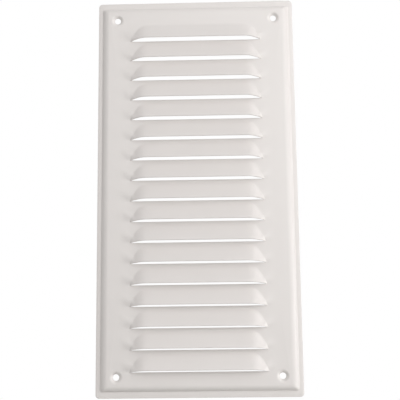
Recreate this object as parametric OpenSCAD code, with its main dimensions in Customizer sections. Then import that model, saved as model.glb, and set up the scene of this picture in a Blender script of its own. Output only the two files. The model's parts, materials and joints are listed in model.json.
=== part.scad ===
// Louvred wall vent grille, pressed from one sheet of metal.
// The plate stands upright: X runs across it, Z up, and its face looks along -Y.
// The origin is on the wall, at the centre of the four fixing holes.

/* [Plate] */
// Width of the plate over its rim
plate_w = 130; // [110:1:200]
// Height of the plate over its rim
plate_h = 260; // [120:1:400]
// Thickness of the sheet
sheet_t = 0.8; // [0.5:0.1:1.2]
// Radius of the outer corners
corner_r = 2.3; // [1:0.1:5]
// Width of the flat rim at the left and right, which lies against the wall
rim_w = 2.8; // [2:0.1:4]
// Width of the flat rim at the top and bottom
end_rim_w = 3.9; // [3:0.1:5]

/* [Raised panel] */
// Height of the panel's face above the rim's face
panel_rise = 3; // [2:0.1:4]
// Width of the rounded shoulder between the rim and the panel, at the left and right
shoulder_w = 4.8; // [4:0.1:6]
// Width of the shoulder at the top and bottom, where it is steeper
end_shoulder_w = 3.9; // [3.9:0.1:5]

/* [Louvres] */
// Distance from one louvre to the next
louvre_pitch = 13.5; // [13:0.1:20]
// Height on the panel of one louvre, from its slot up to its bend
louvre_run = 12; // [8:0.1:12.5]
// Bare height that is kept above the first louvre and below the last
end_margin = 16; // [12:0.5:40]
// Distance from the side of the plate to the tips of the slots
side_margin = 21.5; // [18:0.5:35]
// Distance that the lip's face stands out from the panel's face
lip_rise = 5.2; // [3:0.1:7]
// Height of the lip above the lower edge of its slot
lip_gap = 1.35; // [0.8:0.05:3]
// Length of the curve at each end of the lip
lip_curve = 11; // [9:0.5:16]
// Distance that the upper corners of a louvre lie inside the tips
corner_inset = 8; // [4:0.5:12]
// Outward bulge of the sides of a louvre
side_bulge = 1.1; // [0.4:0.1:2]
// Width of the bend where a louvre leaves the panel
root_bend = 2.2; // [1:0.1:4]

/* [Fixing holes] */
// Diameter of the screw holes
hole_d = 3.9; // [3:0.1:5]
// Distance from each hole to the two nearest sides of the plate
hole_inset = 13; // [12:0.5:14]
// Angle of the dimples round the holes, for countersunk screws
countersink = 90; // [80:5:100]
// Radius of the bend at the mouth of a dimple
dimple_bend = 0.5; // [0.3:0.1:1]

/* [Hidden] */
$fn = 96;
// Segments along the curved side of a louvre, and across its bend
side_steps = 8;
bend_steps = 4;
// Length by which a cut runs past the face that it goes through
over = 1;

face_d = sheet_t + panel_rise;

// Radius of a shoulder that is w wide and ends level with the panel
function arc_radius(w) = (pow(w, 2) + pow(panel_rise, 2)) / (2 * panel_rise);
side_r = arc_radius(shoulder_w);
end_r = arc_radius(end_shoulder_w);
flat_w = plate_w - 2 * (rim_w + shoulder_w);
flat_h = plate_h - 2 * (end_rim_w + end_shoulder_w);

slot_l = plate_w - 2 * side_margin;
field_h = plate_h - 2 * end_margin;
louvre_count = 1 + floor((field_h - louvre_run) / louvre_pitch + 0.001);
first_slot_z = ((louvre_count - 1) * louvre_pitch - louvre_run) / 2;

hole_r = hole_d / 2;
hole_x = plate_w / 2 - hole_inset;
hole_z = plate_h / 2 - hole_inset;
cone_k = tan(countersink / 2);
cone_back_r = hole_r - cone_k * sheet_t + sheet_t * sqrt(1 + pow(cone_k, 2));

// The bend touches the cone at its lower end and the panel at the mouth's edge
cone_slope = 90 - countersink / 2;
mouth_r = hole_r + cone_k * panel_rise + dimple_bend * tan(cone_slope / 2);
bend_low_r = mouth_r - dimple_bend * sin(cone_slope);
bend_low_d = face_d - dimple_bend * (1 - cos(cone_slope));

paint = [0.86, 0.84, 0.83];

function louvre_name(i) = str("louvre_", i < 10 ? "0" : "", i);

// Height of slot i, counted from the top
function slot_z(i) = first_slot_z - (i - 1) * louvre_pitch;

// The side of a louvre on the panel, from the slot's tip (s = 0) to the upper corner (s = 1),
// as an arc: distance inward from the tip, and height above the slot
side_chord = norm([corner_inset, louvre_run]);
bulge_r = (pow(side_chord / 2, 2) + pow(side_bulge, 2)) / (2 * side_bulge);
side_half_angle = asin(side_chord / 2 / bulge_r);
function side_along(s) = side_chord / 2 + bulge_r * sin((2 * s - 1) * side_half_angle);
function side_out(s) = bulge_r * cos((2 * s - 1) * side_half_angle) - bulge_r + side_bulge;
function side_point(s) = [
    (corner_inset * side_along(s) - louvre_run * side_out(s)) / side_chord,
    (louvre_run * side_along(s) + corner_inset * side_out(s)) / side_chord
];

// The lip's front edge, from the tip to where it runs straight: distance inward, height above
// the slot, and distance out from the panel
function lip_share(s) = 1 - pow(1 - s, 2);
function lip_point(s) = [lip_curve * s, lip_gap * lip_share(s), lip_rise * lip_share(s)];

// Share of the lip's rise at share v of the way down a louvre: a bend, then a straight slope
bend_v = root_bend / (louvre_run - lip_gap);
function slope_share(v) =
    (v < bend_v ? pow(v, 2) / (2 * bend_v) : v - bend_v / 2) / (1 - bend_v / 2);

// A point of a louvre's front, at s along its side and v of the way from the side to the lip
function front_point(s, v, side) =
    let (a = side_point(s), b = lip_point(s))
    [
        side * (slot_l / 2 - a[0] - v * (b[0] - a[0])),
        -face_d - slope_share(v) * b[2],
        a[1] + v * (b[1] - a[1])
    ];

// Shares along the side at each column of points, and down the louvre at each row
column_s = [for (i = [1:side_steps]) i / side_steps];
row_v = concat([for (j = [0:bend_steps]) bend_v * j / bend_steps], [1]);
columns = concat(
    [for (s = column_s) [-1, s]],
    [for (i = [side_steps:-1:1]) [1, i / side_steps]]
);

// Outline of the hole that one louvre leaves in the panel
function opening_outline() = concat(
    [[-slot_l / 2, 0]],
    [for (c = columns) let (p = side_point(c[1])) [c[0] * (slot_l / 2 - p[0]), p[1]]],
    [[slot_l / 2, 0]]
);

module toward_front() {
    rotate([90, 0, 0]) children();
}

// Cross-section of the raised panel, with a shoulder of radius r at each side of the flat
module panel_section(flat, r, depth, back) {
    intersection() {
        union() {
            translate([-flat / 2, -depth]) square([flat, depth + back]);
            for (side = [-1, 1]) translate([side * flat / 2, r - depth]) circle(r);
        }
        translate([-flat / 2 - r, -depth]) square([flat + 2 * r, depth + back]);
    }
}

// The width's section run up the plate and the height's run across it meet in mitred corners
module raised_block(inward, depth, back) {
    intersection() {
        linear_extrude(plate_h, center = true) panel_section(flat_w, side_r - inward, depth, back);
        rotate([0, 90, 0])
            linear_extrude(plate_w, center = true) panel_section(flat_h, end_r - inward, depth, back);
    }
}

module rim_sheet() {
    toward_front() linear_extrude(sheet_t) union() {
        square([plate_w - 2 * corner_r, plate_h], center = true);
        square([plate_w, plate_h - 2 * corner_r], center = true);
        for (x = [-1, 1], z = [-1, 1])
            translate([x * (plate_w / 2 - corner_r), z * (plate_h / 2 - corner_r)]) circle(corner_r);
    }
}

module at_fixing_holes() {
    for (x = [-1, 1], z = [-1, 1]) translate([x * hole_x, 0, z * hole_z]) toward_front() children();
}

module dimple_back() {
    cylinder(h = panel_rise, r1 = cone_back_r, r2 = cone_back_r + cone_k * panel_rise);
}

// The funnel in front of a dimple: a cone from the hole, and a bend out to the panel
module dimple_cut() {
    translate([0, 0, -over]) cylinder(h = face_d, r = hole_r);
    rotate_extrude() difference() {
        polygon([
            [0, sheet_t], [hole_r, sheet_t], [bend_low_r, bend_low_d],
            [mouth_r, face_d], [mouth_r, face_d + over], [0, face_d + over]
        ]);
        translate([mouth_r, face_d - dimple_bend]) circle(dimple_bend);
    }
}

module louvre_openings() {
    for (i = [1:louvre_count])
        translate([0, over, slot_z(i)])
            toward_front() linear_extrude(face_d + 2 * over) polygon(opening_outline());
}

// Rim, shoulder and panel, with the dimpled holes and an opening under every louvre
module face_plate() {
    color(paint) difference() {
        union() {
            difference() {
                union() {
                    rim_sheet();
                    raised_block(0, face_d, 0);
                }
                raised_block(sheet_t, panel_rise, over);
            }
            at_fixing_holes() dimple_back();
        }
        at_fixing_holes() dimple_cut();
        louvre_openings();
    }
}

// One pressed louvre: a sloping hood with coned ends, whose root meets the edge of its opening
module louvre(i) {
    rows = len(row_v);
    last = len(columns) - 1;
    size = len(columns) * rows;
    front = [for (c = columns, v = row_v) front_point(c[1], v, c[0])];
    tips = [[-slot_l / 2, -face_d, 0], [slot_l / 2, -face_d, 0]];
    back = [for (p = concat(front, tips)) p + [0, sheet_t, 0]];
    points = concat(front, tips, back);

    // Corner numbers: column c and row r of the front, its tips, and the same points of the back
    tip_l = size;
    tip_r = size + 1;
    to_back = size + 2;
    skin = concat(
        [for (c = [0:last - 1], r = [0:rows - 2])
            [c * rows + r, (c + 1) * rows + r, (c + 1) * rows + r + 1, c * rows + r + 1]],
        [for (r = [0:rows - 2]) [tip_l, r, r + 1]],
        [for (r = [0:rows - 2]) [last * rows + r, tip_r, last * rows + r + 1]]
    );
    inner_skin = [for (f = skin) [for (k = [len(f) - 1:-1:0]) f[k] + to_back]];

    // The edge of the front, once round: along the root from tip to tip, and back along the lip
    rim = concat(
        [tip_l],
        [for (c = [0:last]) c * rows],
        [tip_r],
        [for (c = [last:-1:0]) c * rows + rows - 1]
    );
    edge = [for (k = [0:len(rim) - 1])
        let (a = rim[k], b = rim[(k + 1) % len(rim)]) [b, a, a + to_back, b + to_back]];

    color(paint) translate([0, 0, slot_z(i)])
        polyhedron(points = points, faces = concat(skin, inner_skin, edge));
}

face_plate();
for (i = [1:louvre_count]) louvre(i);
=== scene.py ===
"""Looks of a louvred wall vent cover, pressed from one sheet and powder-coated white.

Every size here is in metres. X runs across the plate, Z up, and its face looks along -Y.
"""

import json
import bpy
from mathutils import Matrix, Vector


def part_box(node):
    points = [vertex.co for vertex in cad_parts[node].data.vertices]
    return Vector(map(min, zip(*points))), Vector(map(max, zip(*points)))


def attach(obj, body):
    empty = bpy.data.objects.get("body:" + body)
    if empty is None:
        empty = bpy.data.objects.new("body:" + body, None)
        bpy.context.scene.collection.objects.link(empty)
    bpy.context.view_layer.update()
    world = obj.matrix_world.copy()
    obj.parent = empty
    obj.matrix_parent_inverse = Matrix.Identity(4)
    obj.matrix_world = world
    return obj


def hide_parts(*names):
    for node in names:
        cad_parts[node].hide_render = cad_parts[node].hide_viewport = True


bl_info = {
    "name": "Wall vent grille",
    "version": (1, 0, 0),
    "blender": (4, 5, 0),
    "location": "View3D > Sidebar > Vent",
    "description": "Models a pressed sheet-metal wall vent with rounded louvres and a powder coat",
    "category": "Object",
}

from math import acos, asin, cos, hypot, pi, radians, sin, tan

import bmesh
import bpy
from mathutils import Vector

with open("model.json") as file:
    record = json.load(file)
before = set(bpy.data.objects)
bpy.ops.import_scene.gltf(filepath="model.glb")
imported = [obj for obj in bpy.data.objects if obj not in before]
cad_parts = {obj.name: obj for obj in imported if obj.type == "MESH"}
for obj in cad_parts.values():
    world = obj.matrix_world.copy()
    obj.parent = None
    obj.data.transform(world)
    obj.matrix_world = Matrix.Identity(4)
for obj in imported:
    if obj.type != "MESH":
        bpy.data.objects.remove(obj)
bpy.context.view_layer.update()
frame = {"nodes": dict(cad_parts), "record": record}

MM = 0.001
SAME_PLACE = 0.00001
BODY = "root"
PLATE_NODE = "face_plate"
LOUVRE_NODES = sorted(n for n in frame["nodes"] if n.startswith("louvre_"))

PLATE_LOW, PLATE_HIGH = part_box(PLATE_NODE)
FIRST_LOW, FIRST_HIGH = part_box(LOUVRE_NODES[0])
LAST_LOW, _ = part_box(LOUVRE_NODES[-1])
HOLES = next(m for m in frame["record"]["mounts"] if m["name"] == "fixing_holes")["dims"]

PITCH = (FIRST_LOW.z - LAST_LOW.z) / (len(LOUVRE_NODES) - 1)
HOLE_R = HOLES["hole_r_mm"] * MM
HOLES_ACROSS = HOLES["spacing_x_mm"] * MM
HOLES_DOWN = HOLES["spacing_y_mm"] * MM
# The dimples seat the heads of 90 degree countersunk screws
DIMPLE_SLOPE = radians(45)

# Edges sharper than this may be cut edges, and faces that meet at less than this look smooth
CUT_ANGLE = radians(50)
SMOOTH_ANGLE = radians(38)
# Segments of a rounded corner and of a rounded cut edge
CORNER_SEGMENTS = 6
EDGE_SEGMENTS = 2
# Flat rings lie this far apart in depth, because two at one depth would be bridged crosswise
RING_STEP = 0.004 * MM
# Width of the flat strip where the shoulder meets the panel
FLAT_EDGE = 0.1 * MM
# Segments round a dimple, across its bend and down its cone
DIMPLE_TURNS = 48
DIMPLE_BEND_STEPS = 6
DIMPLE_CONE_STEPS = 4
# Bare sheet that is kept round a dimple's mouth
DIMPLE_ROOM = 0.4 * MM
# Heights of the strips of sheet below the last slot, and their columns on each side of the middle
STRIPS_BELOW = [0.7 * MM, 1.2 * MM, 1.6 * MM, 2.2 * MM]
STRIP_COLUMNS = 20
# A point counts as on a cut edge this near to the outer edge, to a corner (with the distances
# from both sides added), to the axis of a hole and to a slot
NEAR_OUTER_EDGE = 0.1 * MM
NEAR_CORNER = 2 * MM
NEAR_HOLE = 3 * MM
NEAR_SLOT = 0.02 * MM
# The tips of a slot and of its lip stay sharp over this length
TIP_LENGTH = 2 * MM
# Edges deeper than this behind the panel's face belong to a louvre's root and not to its lip
ROOT_DEPTH = 0.4 * MM


# Sizes and colours that a user may change

def length(name, text, value):
    return bpy.props.FloatProperty(
        name=name, description=text, default=value, min=0.0, unit="LENGTH", precision=5
    )


def tint(name, text, value):
    return bpy.props.StringProperty(name=name, description=text, default=value)


class VentPlateSizes(bpy.types.PropertyGroup):
    sheet: length("Sheet", "Thickness of the pressed sheet", 0.8 * MM)
    corner: length("Outer corner", "Radius of the plate's outer corners", 2.3 * MM)
    foot_corner: length("Inner corner", "Radius of the shoulder's corners", 1.3 * MM)
    rim: length("Side rim", "Width of the flat rim at the sides", 2.8 * MM)
    shoulder: length("Side shoulder", "Width of the rounded shoulder at the sides", 4.8 * MM)
    end_rim: length("End rim", "Width of the flat rim at the top and bottom", 4.2 * MM)
    end_shoulder: length("End shoulder", "Width of the shoulder at the top and bottom", 3.5 * MM)
    foot_bend: length("Foot bend", "Radius of the bend at the shoulder's foot", 0.5 * MM)
    edge_round: length("Cut edge", "Rounding of the coated cut edges", 0.16 * MM)


class VentLouvreSizes(bpy.types.PropertyGroup):
    lip_gap: length("Lip gap", "Height of the lip above its slot", 1.35 * MM)
    lip_curve: length("Lip curve", "Length of the curve at each end of the lip", 11 * MM)
    corner_inset: length("Corner inset", "Distance of the upper corners inside the tips", 8 * MM)
    side_bulge: length("Side bulge", "Outward bulge of the louvre's sides", 1.1 * MM)
    corner_blend: length("Corner blend", "Softness of the louvre's upper corners", 3 * MM)
    root_bend: length("Root bend", "Width of the bend where a louvre leaves the panel", 2.2 * MM)
    side_band: length("Side band", "Width of the sheet that the press pulls out beside it", 6.5 * MM)
    pull: length("Pull", "Height to which the sheet is pulled out beside a louvre", 0.7 * MM)
    pull_reach: length("Pull reach", "Height above the slot up to which it is pulled out", 5.5 * MM)


class VentHoleSizes(bpy.types.PropertyGroup):
    depth: length("Dimple depth", "Depth of a dimple from the panel down to its hole", 1.5 * MM)
    mouth_bend: length("Mouth bend", "Radius of the bend at a dimple's mouth", 1.8 * MM)


class VentFinish(bpy.types.PropertyGroup):
    coat: tint("Powder coat", "Colour of the powder coat", "#E6E1DE")
    floor: tint("Floor", "Colour of the floor", "#C9C9C7")


# Small tools that every piece uses

def pick(piece, *others):
    """Select pieces, with the first one active."""
    bpy.ops.object.select_all(action="DESELECT")
    for one in (piece, *others):
        one.select_set(True)
    bpy.context.view_layer.objects.active = piece


def open_piece():
    bpy.ops.object.mode_set(mode="EDIT")


def close_piece():
    bpy.ops.object.mode_set(mode="OBJECT")


def move_mesh(step):
    """Move the whole mesh being edited."""
    bpy.ops.mesh.select_all(action="SELECT")
    bpy.ops.transform.translate(value=step)


def start_piece(name):
    """Add an empty mesh piece at the origin and open it for editing."""
    bpy.ops.mesh.primitive_plane_add(size=MM)
    piece = bpy.context.active_object
    piece.name = name
    piece.data.name = name
    open_piece()
    bpy.ops.mesh.select_all(action="SELECT")
    bpy.ops.mesh.delete(type="VERT")
    bpy.ops.mesh.select_mode(type="VERT")
    return piece


def select_where(piece, edges=None, faces=None):
    """Select the edges or the faces of the mesh being edited for which a test holds."""
    bpy.ops.mesh.select_all(action="DESELECT")
    mesh = bmesh.from_edit_mesh(piece.data)
    mesh.normal_update()
    if edges:
        bpy.ops.mesh.select_mode(type="EDGE")
        for e in mesh.edges:
            e.select_set(edges(e))
    else:
        bpy.ops.mesh.select_mode(type="FACE")
        for f in mesh.faces:
            f.select_set(faces(f))
    mesh.select_flush_mode()
    bmesh.update_edit_mesh(piece.data)


def merge_doubles():
    bpy.ops.mesh.select_all(action="SELECT")
    bpy.ops.mesh.remove_doubles(threshold=SAME_PLACE)


def face_the_front(piece):
    """Turn every face of a single sheet towards the front."""
    bpy.ops.mesh.select_all(action="SELECT")
    bpy.ops.mesh.normals_make_consistent(inside=False)
    mesh = bmesh.from_edit_mesh(piece.data)
    mesh.normal_update()
    if sum(f.normal.y * f.calc_area() for f in mesh.faces) > 0:
        bpy.ops.mesh.flip_normals()


def draw_wire(points):
    """Draw an open wire through the points, from its first one."""
    bpy.ops.mesh.select_mode(type="VERT")
    bpy.ops.mesh.select_all(action="DESELECT")
    bpy.ops.mesh.primitive_plane_add(size=0.1 * MM, location=points[0])
    bpy.ops.mesh.merge(type="CENTER")
    for here, there in zip(points, points[1:]):
        bpy.ops.mesh.extrude_region_move(TRANSFORM_OT_translate={"value": there - here})


def draw_ring(piece, width, height, depth, radius):
    """Draw a rounded rectangle round the origin at a depth, as a closed wire."""
    bpy.ops.mesh.select_mode(type="VERT")
    bpy.ops.mesh.select_all(action="DESELECT")
    bpy.ops.mesh.primitive_plane_add(size=1, location=(0, depth, 0), rotation=(pi / 2, 0, 0))
    bpy.ops.transform.resize(value=(width, 1, height), center_override=(0, depth, 0))
    bpy.ops.mesh.bevel(
        offset_type="OFFSET", offset=radius, segments=CORNER_SEGMENTS, affect="VERTICES"
    )
    # Only the face inside the new ring has more sides than a rectangle with cut corners
    bpy.ops.mesh.select_face_by_sides(number=8, type="GREATER", extend=False)
    bpy.ops.mesh.delete(type="ONLY_FACE")


def count_points(piece):
    mesh = bmesh.from_edit_mesh(piece.data)
    mesh.verts.index_update()
    return len(mesh.verts)


def skin_wires(piece, wires):
    """Draw wires with equal numbers of points and stretch a sheet over them."""
    starts = [count_points(piece)]
    for points in wires:
        draw_wire(points)
        starts.append(count_points(piece))
        if len(starts) > 2:
            select_wires(piece, *starts[-3:])
            bpy.ops.mesh.bridge_edge_loops()


def select_wires(piece, before, middle, last):
    """Select the edges along two wires, by the numbers of their points."""
    bpy.ops.mesh.select_all(action="DESELECT")
    bpy.ops.mesh.select_mode(type="EDGE")
    mesh = bmesh.from_edit_mesh(piece.data)
    mesh.verts.index_update()
    for e in mesh.edges:
        low, high = sorted(v.index for v in e.verts)
        along_one = high < middle or low >= middle
        e.select_set(low >= before and high < last and along_one)
    bmesh.update_edit_mesh(piece.data)


def use_modifier(piece, kind, **settings):
    """Add a modifier with its settings and apply it."""
    close_piece()
    pick(piece)
    modifier = piece.modifiers.new(kind.title(), kind)
    for name, value in settings.items():
        setattr(modifier, name, value)
    bpy.ops.object.modifier_apply(modifier=modifier.name)
    open_piece()


def join_to(piece, *others):
    """Join other pieces to this one, and open it for editing."""
    pick(piece, *others)
    bpy.ops.object.join()
    open_piece()


def mirror_right(piece):
    """Copy the left half of the sheet to the right, joined along the middle."""
    use_modifier(piece, "MIRROR", use_axis=(True, False, False), merge_threshold=SAME_PLACE)
    merge_doubles()
    face_the_front(piece)


def thicken(piece, thickness):
    """Give the sheet its thickness, towards the back."""
    use_modifier(piece, "SOLIDIFY", thickness=thickness, offset=-1, use_even_offset=True)


def round_cut_edges(piece, radius, is_cut):
    """Round the sharp edges for which the test of a place holds at both ends."""
    select_where(piece, edges=lambda e: (
        len(e.link_faces) == 2
        and e.calc_face_angle() > CUT_ANGLE
        and all(is_cut(v.co) for v in e.verts)
    ))
    bpy.ops.mesh.bevel(
        offset=radius, segments=EDGE_SEGMENTS, affect="EDGES", clamp_overlap=False
    )


def finish_piece(piece, material, *nodes):
    """Smooth the piece, give it its finish, and let it stand for its nodes."""
    close_piece()
    pick(piece)
    bpy.ops.object.shade_smooth_by_angle(angle=SMOOTH_ANGLE)
    piece.data.materials.clear()
    piece.data.materials.append(material)
    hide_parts(*nodes)
    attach(piece, BODY)


# The shape of one louvre, measured inward and up from the tip of its slot

class LouvreShape:
    # Columns of points along the curved side, and shares of the way from there to the middle
    END_COLUMNS = 14
    MIDDLE_SHARES = [0.03, 0.065, 0.105, 0.15, 0.2, 0.27, 0.36, 0.5, 0.7, 1.0]
    # Shares of the way from the cell's border to the outline, closer together at the border
    BAND_STEPS = [0.0, 0.1, 0.25, 0.45, 0.7, 1.0]
    # Rows of points across the bend at the root, and down the straight slope
    BEND_ROWS = 4
    SLOPE_ROWS = 6
    # Points of the top border stand at a share of their column's distance, up to the whole of it
    TOP_START = 0.35
    TOP_STEP = 0.13
    # Share of the side, just before its end, from which its slope there is measured
    NEAR_END = 0.98

    def __init__(self, sizes):
        self.sizes = sizes
        self.half = FIRST_HIGH.x
        self.face = PLATE_LOW.y
        self.run = FIRST_HIGH.z - FIRST_LOW.z
        self.rise = PLATE_LOW.y - FIRST_LOW.y
        self.bend = sizes.root_bend / (self.run - sizes.lip_gap)
        chord = hypot(sizes.corner_inset, self.run)
        bulge = sizes.side_bulge
        radius = ((chord / 2) ** 2 + bulge ** 2) / (2 * bulge)
        self.arc = (chord, radius, asin(chord / 2 / radius))

    def side(self, s):
        """A point of the side, for s = 0 at the tip and 1 at the upper corner."""
        chord, radius, half_angle = self.arc
        along = chord / 2 + radius * sin((2 * s - 1) * half_angle)
        out = radius * cos((2 * s - 1) * half_angle) - radius + self.sizes.side_bulge
        inset = self.sizes.corner_inset
        x = (inset * along - self.run * out) / chord
        z = (self.run * along + inset * out) / chord
        return x, z

    def softened(self, z):
        """The outline's height: the lower of the side and the root, rounded off where they meet."""
        blend = self.sizes.corner_blend
        share = max(blend - abs(z - self.run), 0) / blend
        return min(z, self.run) - share * share * blend / 4

    def columns(self):
        """Outline and lip points of every column, from the tip to the middle."""
        found = []
        for k in range(self.END_COLUMNS + 1):
            s = k / self.END_COLUMNS
            x, z = self.side(s)
            found.append(((x, self.softened(z)), self.lip(s)))
        x, z = self.side(1)
        before_x, before_z = self.side(self.NEAR_END)
        slope = (z - before_z) / (x - before_x)
        for share in self.MIDDLE_SHARES:
            root_x = x + (self.half - x) * share
            lip_x = self.sizes.lip_curve + (self.half - self.sizes.lip_curve) * share
            root_z = self.softened(z + slope * (root_x - x))
            found.append(((root_x, root_z), (lip_x, self.sizes.lip_gap, self.rise)))
        return found

    def lip(self, s):
        """A point of the lip, for s = 0 at the tip and 1 where the lip runs straight."""
        share = 1 - (1 - s) ** 2
        return self.sizes.lip_curve * s, self.sizes.lip_gap * share, self.rise * share

    def slope_share(self, v):
        """Share of the lip's rise at share v of the way down: a bend, then a straight slope."""
        rise = v * v / (2 * self.bend) if v < self.bend else v - self.bend / 2
        return rise / (1 - self.bend / 2)

    def pulled(self, up):
        """How far the sheet is pulled out at the louvre's side, at a height above its slot."""
        t = min(max(up / self.sizes.pull_reach, 0), 1)
        # A smooth hump that is 1 high halfway up
        hump = (4 * t * (1 - t)) ** 2
        return self.sizes.pull * hump

    def place(self, inward, up, out):
        """The place of a point of the left half, with the slot at height 0."""
        return Vector((inward - self.half, self.face - out, up))

    def hood_wires(self):
        """Wires from the outline down to the lip, each from the tip to the middle."""
        bend_rows, slope_rows = self.BEND_ROWS, self.SLOPE_ROWS
        shares = [self.bend * k / bend_rows for k in range(bend_rows + 1)]
        for k in range(1, slope_rows + 1):
            shares.append(self.bend + (1 - self.bend) * k / slope_rows)
        wires = []
        for v in shares:
            wire = []
            for (root_x, root_z), (lip_x, lip_z, lip_out) in self.columns():
                inward = root_x + v * (lip_x - root_x)
                up = root_z + v * (lip_z - root_z)
                # Where the sheet is pulled out already, the hood goes on with no bend of its own
                start = self.pulled(root_z)
                straight = start / self.sizes.pull
                share = self.slope_share(v) * (1 - straight) + v * straight
                wire.append(self.place(inward, up, start + share * (lip_out - start)))
            wires.append(wire)
        return wires

    def border(self):
        """Points round the cell of one louvre, one for every column of its outline."""
        band = self.sizes.side_band
        columns = self.columns()
        steps = len(self.BAND_STEPS) - 1
        rising = self.END_COLUMNS - steps - 2
        points = [(-band, PITCH * k / rising) for k in range(rising)]
        points += [(-band * (1 - share), PITCH) for share in self.BAND_STEPS[:-1]]
        points.append((0.0, PITCH))
        left = len(columns) - len(points)
        for k in range(1, left + 1):
            (root_x, _), _ = columns[len(points)]
            points.append((root_x * min(1, self.TOP_START + self.TOP_STEP * k), PITCH))
        return points

    def band_wires(self):
        """Wires from the outline out to the border of the cell."""
        wires = []
        for w in [1 - share for share in reversed(self.BAND_STEPS)]:
            wire = []
            for ((x, z), _), (far_x, far_z) in zip(self.columns(), self.border()):
                out = self.pulled(z) * (1 - w) ** 2
                wire.append(self.place(x + w * (far_x - x), z + w * (far_z - z), out))
            wires.append(wire)
        return wires


# The face plate

class Shoulder:
    """The bend at the rim and the arc up to the panel, as one profile from the outer edge."""

    BEND_STEPS = 4
    ARC_STEPS = 8

    def __init__(self, rim, width, rise, bend):
        self.rim = rim
        self.rise = rise
        self.bend = bend
        self.flat_at = rim + width
        self.radius = (width ** 2 + rise ** 2) / (2 * rise)
        self.turn = asin(width / self.radius)

    def inset(self, height):
        """Distance from the outer edge at a height above the rim."""
        setback = self.bend * tan(self.turn / 2)
        if height < self.bend * (1 - cos(self.turn)):
            angle = acos(1 - height / self.bend)
            return self.rim - setback + self.bend * sin(angle)
        angle = acos(1 - (self.rise - height) / self.radius)
        return self.flat_at - self.radius * sin(angle)

    def heights(self):
        """Heights above the rim of the points up the bend and then up the arc."""
        found = []
        for k in range(self.BEND_STEPS + 1):
            found.append(self.bend * (1 - cos(self.turn * k / self.BEND_STEPS)))
        start = acos(1 - (self.rise - found[-1]) / self.radius)
        for k in range(1, self.ARC_STEPS + 1):
            angle = start * (1 - k / self.ARC_STEPS)
            found.append(self.rise - self.radius * (1 - cos(angle)))
        return found


def shoulder_rings(sizes):
    """Insets at the sides and the ends, and depth, of each ring from the rim to the panel."""
    rim_y = -sizes.sheet
    rise = rim_y - PLATE_LOW.y
    sides = Shoulder(sizes.rim, sizes.shoulder, rise, sizes.foot_bend)
    ends = Shoulder(sizes.end_rim, sizes.end_shoulder, rise, sizes.foot_bend)
    rings = [(0.0, 0.0, rim_y), (sizes.rim / 2, sizes.end_rim / 2, rim_y - RING_STEP)]
    for height in sides.heights()[:-1]:
        depth = rim_y - max(height, 2 * RING_STEP)
        rings.append((sides.inset(height), ends.inset(height), depth))
    rings.append((sides.flat_at, ends.flat_at, PLATE_LOW.y + RING_STEP))
    rings.append((sides.flat_at + FLAT_EDGE, ends.flat_at + FLAT_EDGE, PLATE_LOW.y))
    return rings


def model_surround(sizes):
    """Stretch the rim and the shoulder over rounded rectangles, one inside the other."""
    piece = start_piece("surround")
    width = PLATE_HIGH.x - PLATE_LOW.x
    height = PLATE_HIGH.z - PLATE_LOW.z
    # The outer edge, the middle of the rim, and everything inside it
    corner_radii = [sizes.corner, (sizes.corner + sizes.foot_corner) / 2, sizes.foot_corner]
    starts = [count_points(piece)]
    for number, (side_inset, end_inset, depth) in enumerate(shoulder_rings(sizes)):
        radius = corner_radii[min(number, 2)]
        draw_ring(piece, width - 2 * side_inset, height - 2 * end_inset, depth, radius)
        starts.append(count_points(piece))
        if number:
            select_wires(piece, *starts[-3:])
            bpy.ops.mesh.bridge_edge_loops()
    close_piece()
    return piece


def dimple_mouth(sizes):
    """Radius at which a dimple's bend leaves the panel."""
    cone = sizes.depth / tan(DIMPLE_SLOPE)
    return HOLE_R + cone + sizes.mouth_bend * tan(DIMPLE_SLOPE / 2)


def dimple_profile(sizes):
    """Radius and depth of each point from the mouth's bend down the cone to the hole."""
    mouth = dimple_mouth(sizes)
    profile = []
    for k in range(DIMPLE_BEND_STEPS + 1):
        angle = DIMPLE_SLOPE * k / DIMPLE_BEND_STEPS
        r = mouth - sizes.mouth_bend * sin(angle)
        profile.append((r, sizes.mouth_bend * (1 - cos(angle))))
    r, drop = profile[-1]
    for k in range(1, DIMPLE_CONE_STEPS + 1):
        share = k / DIMPLE_CONE_STEPS
        profile.append((r + (HOLE_R - r) * share, drop + (sizes.depth - drop) * share))
    return profile


def model_dimples(sizes):
    """Spin the profile of one dimple and copy it to the four corners."""
    piece = start_piece("dimples")
    centre = Vector((-HOLES_ACROSS / 2, 0, HOLES_DOWN / 2))
    panel_y = PLATE_LOW.y
    draw_wire([centre + Vector((r, panel_y + drop, 0)) for r, drop in dimple_profile(sizes)])
    bpy.ops.mesh.select_all(action="SELECT")
    bpy.ops.mesh.spin(steps=DIMPLE_TURNS, angle=2 * pi, center=centre, axis=(0, 1, 0))
    merge_doubles()
    across = Vector((HOLES_ACROSS, 0, 0))
    down = Vector((0, 0, -HOLES_DOWN))
    for step in (across, down, -across):
        bpy.ops.mesh.duplicate_move(TRANSFORM_OT_translate={"value": step})
    close_piece()
    return piece


def distance_to_hole(place):
    """Distance on the panel from a place to the axis of the nearest screw hole."""
    return hypot(abs(place.x) - HOLES_ACROSS / 2, abs(place.z) - HOLES_DOWN / 2)


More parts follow.
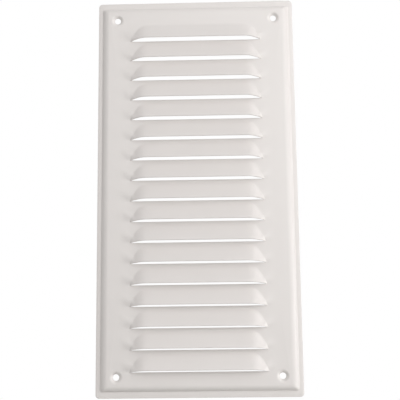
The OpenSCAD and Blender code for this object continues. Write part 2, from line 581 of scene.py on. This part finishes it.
class VENT_OT_face_plate(bpy.types.Operator):
    """Model the rim, the shoulder and the panel, with its openings and dimpled holes"""
    bl_idname = "vent.face_plate"
    bl_label = "Face plate"

    def execute(self, context):
        sizes = context.scene.vent_plate
        louvre = context.scene.vent_louvre
        holes = context.scene.vent_holes
        shape = LouvreShape(louvre)

        plate = start_piece("pressed_face_plate")
        skin_wires(plate, shape.band_wires())
        mirror_right(plate)
        move_mesh((0, 0, FIRST_LOW.z))
        use_modifier(
            plate, "ARRAY",
            count=len(LOUVRE_NODES),
            use_relative_offset=False,
            use_constant_offset=True,
            constant_offset_displace=(0, 0, -PITCH),
            use_merge_vertices=True,
            merge_threshold=SAME_PLACE,
        )
        merge_doubles()

        # The sheet below the last slot
        bottom = LAST_LOW.z
        tip_x = FIRST_HIGH.x
        span = tip_x + louvre.side_band
        steps = range(-STRIP_COLUMNS, STRIP_COLUMNS + 1)
        draw_wire([Vector((tip_x * k / STRIP_COLUMNS, PLATE_LOW.y, bottom)) for k in steps])
        merge_doubles()
        select_where(plate, edges=lambda e: all(
            abs(v.co.z - bottom) < SAME_PLACE and abs(v.co.x) < span + SAME_PLACE for v in e.verts
        ))
        for strip in STRIPS_BELOW:
            bpy.ops.mesh.extrude_region_move(TRANSFORM_OT_translate={"value": (0, 0, -strip)})

        # Room for the dimples, and the flat sheet between everything
        room = dimple_mouth(holes) + DIMPLE_ROOM
        select_where(plate, faces=lambda f: min(distance_to_hole(v.co) for v in f.verts) < room)
        bpy.ops.mesh.delete(type="FACE")
        close_piece()
        join_to(plate, model_surround(sizes), model_dimples(holes))
        self.fill_flat(plate)
        face_the_front(plate)

        thicken(plate, sizes.sheet)
        round_cut_edges(plate, sizes.edge_round, self.is_cut)
        finish_piece(plate, powder_coat(), PLATE_NODE)
        return {"FINISHED"}

    def fill_flat(self, plate):
        """Close the flat sheet between the shoulder, the louvres and the dimples."""
        top = FIRST_LOW.z + PITCH
        tip_x = FIRST_HIGH.x

        def borders_flat(e):
            if len(e.link_faces) != 1:
                return False
            middle = (e.verts[0].co + e.verts[1].co) / 2
            if abs(middle.y - PLATE_LOW.y) > SAME_PLACE:
                return False
            inside_x = abs(middle.x) < tip_x + SAME_PLACE
            return not (inside_x and LAST_LOW.z - SAME_PLACE < middle.z < top - SAME_PLACE)

        select_where(plate, edges=borders_flat)
        bpy.ops.mesh.fill(use_beauty=True)
        merge_doubles()

    @staticmethod
    def is_cut(place):
        """The outer edge, the holes and the slots are cut. The louvres' roots aren't."""
        from_side = PLATE_HIGH.x - abs(place.x)
        from_end = PLATE_HIGH.z - abs(place.z)
        if min(from_side, from_end) < NEAR_OUTER_EDGE or from_side + from_end < NEAR_CORNER:
            return True
        if distance_to_hole(place) < NEAR_HOLE:
            return True
        slot = (place.z - LAST_LOW.z) / PITCH
        nearest = round(slot)
        on_slot = abs(slot - nearest) * PITCH < NEAR_SLOT and 0 <= nearest < len(LOUVRE_NODES)
        return on_slot and abs(place.x) < FIRST_HIGH.x - TIP_LENGTH


# The louvres

class VENT_OT_louvres(bpy.types.Operator):
    """Model one pressed louvre and copy it over every opening"""
    bl_idname = "vent.louvres"
    bl_label = "Louvres"

    def execute(self, context):
        plate = context.scene.vent_plate
        sizes = context.scene.vent_louvre
        shape = LouvreShape(sizes)
        hood = start_piece("pressed_" + LOUVRE_NODES[0])
        skin_wires(hood, shape.hood_wires())
        mirror_right(hood)
        thicken(hood, plate.sheet)
        highest = sizes.lip_gap + NEAR_SLOT + plate.sheet
        widest = shape.half - TIP_LENGTH
        deepest = shape.face + ROOT_DEPTH

        def on_lip(place):
            return place.z < highest and abs(place.x) < widest and place.y < deepest

        round_cut_edges(hood, plate.edge_round, on_lip)
        move_mesh((0, 0, FIRST_LOW.z))
        close_piece()

        coat = powder_coat()
        hoods = [hood]
        for node in LOUVRE_NODES[1:]:
            pick(hood)
            bpy.ops.object.duplicate()
            copy = bpy.context.active_object
            copy.name = "pressed_" + node
            copy.data.name = copy.name
            open_piece()
            move_mesh((0, 0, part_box(node)[0].z - FIRST_LOW.z))
            close_piece()
            hoods.append(copy)
        for piece, node in zip(hoods, LOUVRE_NODES):
            finish_piece(piece, coat, node)
        return {"FINISHED"}


# The finish

# Places of the colour sockets on a Mix node
MIX_A, MIX_B, MIX_RESULT = 6, 7, 2


def linear(hex_colour):
    """A colour written in sRGB hex, as linear light."""
    parts = [int(hex_colour[k:k + 2], 16) / 255 for k in (1, 3, 5)]
    return [p / 12.92 if p <= 0.04045 else ((p + 0.055) / 1.055) ** 2.4 for p in parts] + [1.0]


def add_node(tree, kind, settings=None, links=None):
    """Add a node, set its values and its sockets, and link sockets from other nodes."""
    node = tree.nodes.new(kind)
    for name, value in (settings or {}).items():
        if isinstance(name, int) or name in node.inputs:
            node.inputs[name].default_value = value
        else:
            setattr(node, name, value)
    for name, source in (links or {}).items():
        tree.links.new(source, node.inputs[name])
    return node


def powder_coat():
    """White powder coat on steel: sprayed as dry powder and baked, so it flows out almost level.

    It gives the eye a soft satin gloss and a faint orange peel, with no brush or mould marks.
    """
    name = "white_powder_coat"
    if name in bpy.data.materials:
        return bpy.data.materials[name]
    finish = bpy.context.scene.vent_finish
    material = bpy.data.materials.new(name)
    material.use_nodes = True
    tree = material.node_tree
    tree.nodes.clear()
    place = add_node(tree, "ShaderNodeTexCoord").outputs["Object"]
    # Orange peel: waves about 1.6 mm long and a few micrometres high
    peel = add_node(tree, "ShaderNodeTexNoise", {
        "Scale": 1 / (1.6 * MM), "Detail": 2.0, "Roughness": 0.45,
    }, {"Vector": place})
    bump = add_node(tree, "ShaderNodeBump", {
        "Strength": 0.35, "Distance": 0.02 * MM,
    }, {"Height": peel.outputs["Fac"]})
    # Thickness of the coat: pale clouds some centimetres wide, barely seen
    cloud = add_node(tree, "ShaderNodeTexNoise", {
        "Scale": 1 / (22 * MM), "Detail": 2.0,
    }, {"Vector": place})
    tone = add_node(tree, "ShaderNodeMapRange", {
        "From Min": 0.3, "From Max": 0.7, "To Min": 0.985, "To Max": 1.0,
    }, {"Value": cloud.outputs["Fac"]})
    tinted = add_node(tree, "ShaderNodeMix", {
        "data_type": "RGBA", "blend_type": "MULTIPLY", 0: 1.0, MIX_A: linear(finish.coat),
    }, {MIX_B: tone.outputs["Result"]})
    gloss = add_node(tree, "ShaderNodeMapRange", {
        "From Min": 0.3, "From Max": 0.7, "To Min": 0.34, "To Max": 0.42,
    }, {"Value": cloud.outputs["Fac"]})
    shader = add_node(tree, "ShaderNodeBsdfPrincipled", {
        "Metallic": 0.0, "IOR": 1.5,
    }, {
        "Base Color": tinted.outputs[MIX_RESULT],
        "Roughness": gloss.outputs["Result"],
        "Normal": bump.outputs["Normal"],
    })
    add_node(tree, "ShaderNodeOutputMaterial", {}, {"Surface": shader.outputs["BSDF"]})
    return material


# The stage

# Name, place, aim, width, height and watts of each lamp
LAMPS = [
    ("soft_light_right", (0.45, -0.65, 0.35), (0, 0, 0), 0.7, 0.7, 2.92),
    ("soft_light_front", (0, -1.546, 0.414), (0, 0, 0), 1.0, 1.0, 3.5),
    ("soft_light_side", (0.8, -0.22, -0.12), (0, 0, -0.05), 0.15, 0.4, 1.88),
    ("soft_light_back", (0, 1.09, 0.51), (0, 0, 0), 1.0, 1.0, 1.6),
]
# Level of the pale light all round the object, where 1 is white
SKY_LEVEL = 0.5
# How much the floor is lifted towards white for the camera
FLOOR_LIFT = 0.55
FLOOR_SIZE = 4
FLOOR_Z = -0.36
# Radius and segments of the floor's rounded corners
FLOOR_CORNER = 1.2
FLOOR_SEGMENTS = 12
# The camera stands below the middle and looks up. Its turn is in degrees, its lens in millimetres.
CAMERA_PLACE = (0.014397, -0.508471, -0.090415)
CAMERA_TURN = (99.51801, 0.66969, 1.54260)
CAMERA_SENSOR = 36
CAMERA_LENS = 71.571
CAMERA_NEAR = 0.01


def pale_floor():
    """Matt white paper: lit by the lamps, and lifted to white where the camera sees it."""
    finish = bpy.context.scene.vent_finish
    material = bpy.data.materials.new("matt_white_paper")
    material.use_nodes = True
    tree = material.node_tree
    tree.nodes.clear()
    seen = add_node(tree, "ShaderNodeLightPath").outputs["Is Camera Ray"]
    lift = add_node(tree, "ShaderNodeMath", {"operation": "MULTIPLY", 1: FLOOR_LIFT}, {0: seen})
    shader = add_node(tree, "ShaderNodeBsdfPrincipled", {
        "Base Color": linear(finish.floor),
        "Roughness": 0.9,
        "Emission Color": (1, 1, 1, 1),
    }, {"Emission Strength": lift.outputs[0]})
    add_node(tree, "ShaderNodeOutputMaterial", {}, {"Surface": shader.outputs["BSDF"]})
    return material


def soft_lamp(name, place, aim, width, height, power):
    bpy.ops.object.light_add(type="AREA", location=place)
    lamp = bpy.context.active_object
    lamp.name = name
    lamp.rotation_euler = (Vector(aim) - Vector(place)).to_track_quat("-Z", "Y").to_euler()
    lamp.data.shape = "RECTANGLE"
    lamp.data.size = width
    lamp.data.size_y = height
    lamp.data.energy = power


def pale_surroundings():
    """Even pale light from all round, which the camera sees as white."""
    world = bpy.data.worlds.new("pale_surroundings")
    bpy.context.scene.world = world
    world.use_nodes = True
    tree = world.node_tree
    tree.nodes.clear()
    rays = add_node(tree, "ShaderNodeLightPath")
    seen = add_node(tree, "ShaderNodeMath", {"operation": "MAXIMUM"}, {
        0: rays.outputs["Is Camera Ray"], 1: rays.outputs["Is Transmission Ray"],
    })
    level = add_node(tree, "ShaderNodeMapRange", {
        "To Min": SKY_LEVEL, "To Max": 1.0,
    }, {"Value": seen.outputs[0]})
    light = add_node(tree, "ShaderNodeBackground", {
        "Color": (1, 1, 1, 1),
    }, {"Strength": level.outputs["Result"]})
    add_node(tree, "ShaderNodeOutputWorld", {}, {"Surface": light.outputs["Background"]})


class VENT_OT_stage(bpy.types.Operator):
    """Set up the floor, the soft light and the camera"""
    bl_idname = "vent.stage"
    bl_label = "Stage"

    def execute(self, context):
        bpy.ops.mesh.primitive_plane_add(size=FLOOR_SIZE, location=(0, 0, FLOOR_Z))
        floor = bpy.context.active_object
        floor.name = "floor"
        open_piece()
        bpy.ops.mesh.select_all(action="SELECT")
        bpy.ops.mesh.bevel(offset=FLOOR_CORNER, segments=FLOOR_SEGMENTS, affect="VERTICES")
        close_piece()
        bpy.ops.object.transform_apply(location=True, rotation=True, scale=True)
        floor.data.materials.append(pale_floor())

        pale_surroundings()
        for lamp in LAMPS:
            soft_lamp(*lamp)

        bpy.ops.object.camera_add(location=CAMERA_PLACE)
        camera = bpy.context.active_object
        camera.name = "camera"
        camera.rotation_euler = [radians(angle) for angle in CAMERA_TURN]
        camera.data.sensor_width = CAMERA_SENSOR
        camera.data.lens = CAMERA_LENS
        camera.data.clip_start = CAMERA_NEAR
        context.scene.camera = camera
        context.scene.view_settings.view_transform = "Standard"
        return {"FINISHED"}


class VENT_PT_sidebar(bpy.types.Panel):
    """Lists the pieces of the vent and their sizes"""
    bl_idname = "VENT_PT_sidebar"
    bl_label = "Wall vent grille"
    bl_space_type = "VIEW_3D"
    bl_region_type = "UI"
    bl_category = "Vent"

    def draw(self, context):
        for group in GROUPS:
            settings = getattr(context.scene, group)
            box = self.layout.box()
            for name in settings.bl_rna.properties.keys():
                if name not in ("rna_type", "name"):
                    box.prop(settings, name)
        for operator in OPERATORS:
            self.layout.operator(operator.bl_idname)


GROUPS = {
    "vent_plate": VentPlateSizes,
    "vent_louvre": VentLouvreSizes,
    "vent_holes": VentHoleSizes,
    "vent_finish": VentFinish,
}
OPERATORS = [VENT_OT_face_plate, VENT_OT_louvres, VENT_OT_stage]


def register():
    for group, kind in GROUPS.items():
        bpy.utils.register_class(kind)
        setattr(bpy.types.Scene, group, bpy.props.PointerProperty(type=kind))
    for kind in OPERATORS + [VENT_PT_sidebar]:
        bpy.utils.register_class(kind)


def unregister():
    for kind in [VENT_PT_sidebar] + OPERATORS[::-1]:
        bpy.utils.unregister_class(kind)
    for group, kind in GROUPS.items():
        delattr(bpy.types.Scene, group)
        bpy.utils.unregister_class(kind)


def main():
    register()
    bpy.ops.vent.face_plate()
    bpy.ops.vent.louvres()
    bpy.ops.vent.stage()


if __name__ == "__main__":
    main()
